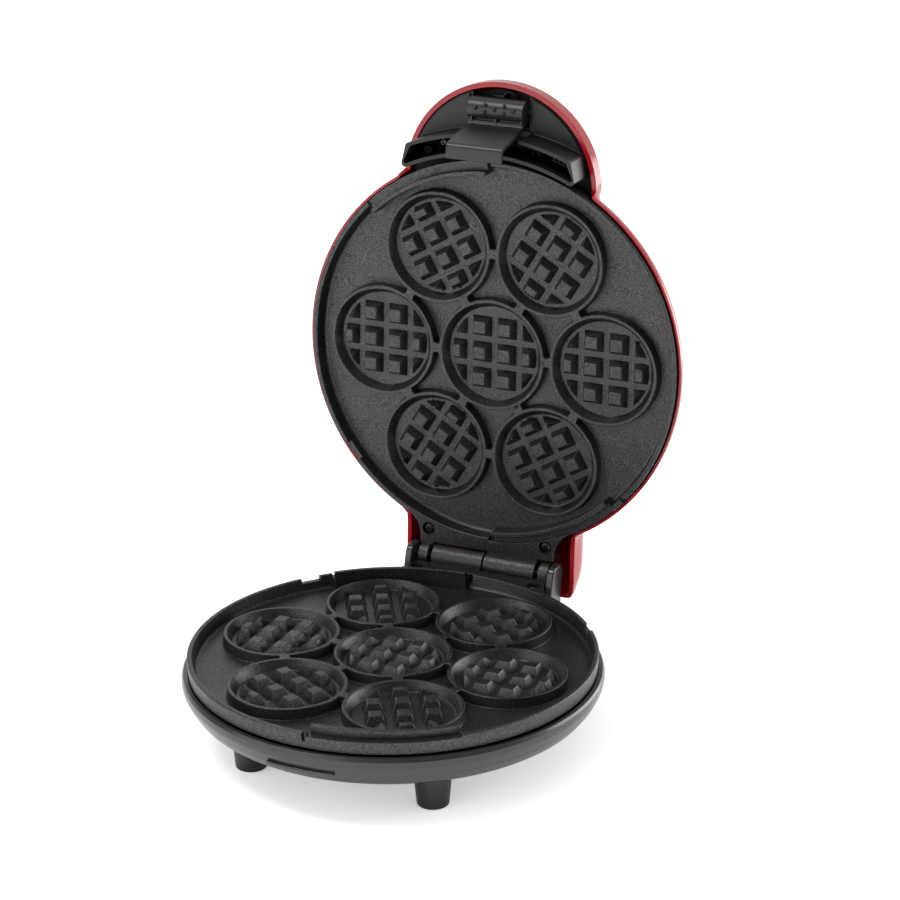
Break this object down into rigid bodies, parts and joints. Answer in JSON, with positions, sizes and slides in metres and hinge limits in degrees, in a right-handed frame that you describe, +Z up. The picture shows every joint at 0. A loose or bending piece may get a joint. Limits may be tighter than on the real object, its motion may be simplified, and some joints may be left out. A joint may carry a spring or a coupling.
{
  "type": "waffle bite maker",
  "caption": "Round clamshell countertop waffle maker, open, with small waffle cups in each hot plate, a hinged lid with a handle bulge and a swinging latch.",
  "frame": {"origin": "middle of the footprint of the whole machine with its lid open, on the surface it stands on", "axes": "+Z up, +Y to the hinge at the back, +X to the right of someone at the front"},
  "size_m": [0.2142, 0.2664, 0.3086],
  "materials": {
    "red_gloss": "glossy moulded plastic",
    "charcoal": "satin-gloss moulded plastic",
    "black_plastic": "satin-gloss moulded plastic",
    "nonstick": "dark non-stick coating on cast aluminium",
    "steel": "plain steel",
    "dark_steel": "blackened steel screw",
    "shield_aluminium": "plain sheet",
    "rubber": "matt rubber",
    "amber": "clear coloured lens",
    "ceramic": "white insulator"
  },
  "bodies": {
    "base": {"base_shell": "charcoal", "base_plate": "nonstick", "base_heater": "steel", "base_heat_shield": "shield_aluminium", "thermostat": "steel", "thermal_fuse": "ceramic", "cord_gland": "rubber", "hinge_pin": "steel", "base_hinge_screw_left": "dark_steel", "base_hinge_screw_right": "dark_steel", "foot_front_left": "black_plastic", "foot_front_right": "black_plastic", "foot_rear_left": "black_plastic", "foot_rear_right": "black_plastic"},
    "lid": {"lid_shell": "red_gloss", "lid_plate": "nonstick", "lid_heater": "steel", "lid_heat_shield": "shield_aluminium", "lid_hinge_screw_left": "dark_steel", "lid_hinge_screw_right": "dark_steel", "handle_insert": "black_plastic", "insert_screw_left": "dark_steel", "insert_screw_right": "dark_steel", "indicator_lens": "amber", "indicator_lamp": "ceramic", "latch_pin": "steel"},
    "latch": {"latch": "black_plastic"}
  },
  "joints": [
    {"name": "lid_hinge", "type": "hinge", "parent": "base", "child": "lid", "pos_m": [0, 0.08848, 0.04875], "axis": [1, 0, 0], "range_deg": [0, 93]},
    {"name": "latch_hinge", "type": "hinge", "parent": "lid", "child": "latch", "pos_m": [0, 0.11181, 0.29436], "axis": [1, 0, 0], "range_deg": [-20, 7]}
  ]
}
